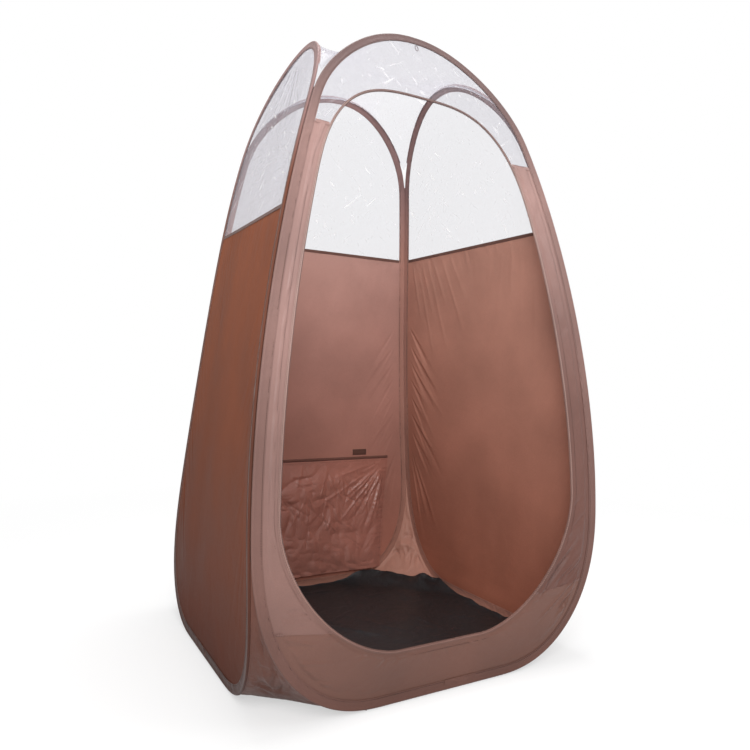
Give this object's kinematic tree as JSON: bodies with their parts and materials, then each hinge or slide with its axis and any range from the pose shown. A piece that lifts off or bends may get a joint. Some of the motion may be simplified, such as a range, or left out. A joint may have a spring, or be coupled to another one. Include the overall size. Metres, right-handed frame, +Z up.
{
  "type": "pop-up privacy tent",
  "caption": "Free-standing pop-up booth of egg-shaped spring hoops with fabric lower walls, clear film upper walls and roof, an open doorway and a low back flap.",
  "frame": {"origin": "on the ground under the middle of the booth", "axes": "+Z up, doorway towards -Y, +X to the right of someone facing the doorway from outside"},
  "size_m": [1.2174, 1.1302, 2.0974],
  "materials": {
    "wall_fabric": "brown coated polyester, matt with a soft sheen",
    "band_fabric": "lighter rosy brown polyester with a soft sheen",
    "tape_fabric": "brown woven binding tape, matt",
    "clear_film": "clear flexible vinyl film, glossy and lightly creased",
    "floor_fabric": "black coated polyester, matt",
    "spring_steel": "oiled spring steel wire",
    "hook_and_loop": "brown hook-and-loop tape"
  },
  "bodies": {
    "front": {"doorway_binding": "band_fabric", "floor_mat": "floor_fabric", "front_bottom_band": "band_fabric", "front_ferrule": "spring_steel", "front_hoop_sleeve": "tape_fabric", "front_hoop_wire": "spring_steel", "front_left_band": "band_fabric", "front_left_corner_tape": "tape_fabric", "front_left_gusset": "wall_fabric", "front_left_header_tape": "tape_fabric", "front_right_band": "band_fabric", "front_right_corner_tape": "tape_fabric", "front_right_gusset": "wall_fabric", "front_right_header_tape": "tape_fabric", "front_window": "clear_film", "hang_loop": "tape_fabric", "roof_panel": "clear_film"},
    "left": {"back_left_corner_tape": "tape_fabric", "back_left_gusset": "wall_fabric", "left_ferrule": "spring_steel", "left_hoop_sleeve": "tape_fabric", "left_hoop_wire": "spring_steel", "left_sill_tape": "tape_fabric", "left_wall": "wall_fabric", "left_window": "clear_film"},
    "right": {"right_ferrule": "spring_steel", "right_hoop_sleeve": "tape_fabric", "right_hoop_wire": "spring_steel", "right_sill_tape": "tape_fabric", "right_wall": "wall_fabric", "right_window": "clear_film"},
    "back": {"back_ferrule": "spring_steel", "back_hoop_sleeve": "tape_fabric", "back_hoop_wire": "spring_steel", "back_right_corner_tape": "tape_fabric", "back_right_gusset": "wall_fabric", "back_sill_tape": "tape_fabric", "back_wall": "wall_fabric", "back_window": "clear_film", "flap_hem": "band_fabric", "flap_loop_strip_left": "hook_and_loop", "flap_loop_strip_right": "hook_and_loop", "flap_tab": "tape_fabric"},
    "flap": {"back_flap": "wall_fabric", "flap_hook_strip_left": "hook_and_loop", "flap_hook_strip_right": "hook_and_loop"}
  },
  "joints": [
    {"name": "left_wall_fold", "type": "hinge", "parent": "front", "child": "left", "pos_m": [-0.582, -0.546, 0.4], "axis": [-0.1193, -0.1068, -0.9871], "range_deg": [0, 45], "deforming": ["front_left_corner_tape", "front_left_gusset", "roof_panel", "floor_mat"]},
    {"name": "right_wall_fold", "type": "hinge", "parent": "front", "child": "right", "pos_m": [0.655, -0.596, 0.4], "axis": [0.12, -0.109, -0.9868], "range_deg": [0, 42], "deforming": ["front_right_corner_tape", "front_right_gusset"]},
    {"name": "back_wall_fold", "type": "hinge", "parent": "left", "child": "back", "pos_m": [-0.537, 0.596, 0.4], "axis": [0.0967, -0.1093, 0.9893], "range_deg": [0, 53], "deforming": ["back_left_corner_tape", "back_left_gusset", "back_right_corner_tape", "back_right_gusset"]},
    {"name": "flap_lift", "type": "hinge", "parent": "back", "child": "flap", "pos_m": [0, 0.55461, 0.51988], "axis": [-1, 0, 0], "range_deg": [0, 165]}
  ],
  "couplings": [
    {"joint": "right_wall_fold", "follows": "left_wall_fold", "ratio": 0.9297},
    {"joint": "back_wall_fold", "follows": "left_wall_fold", "ratio": 1.1756}
  ]
}
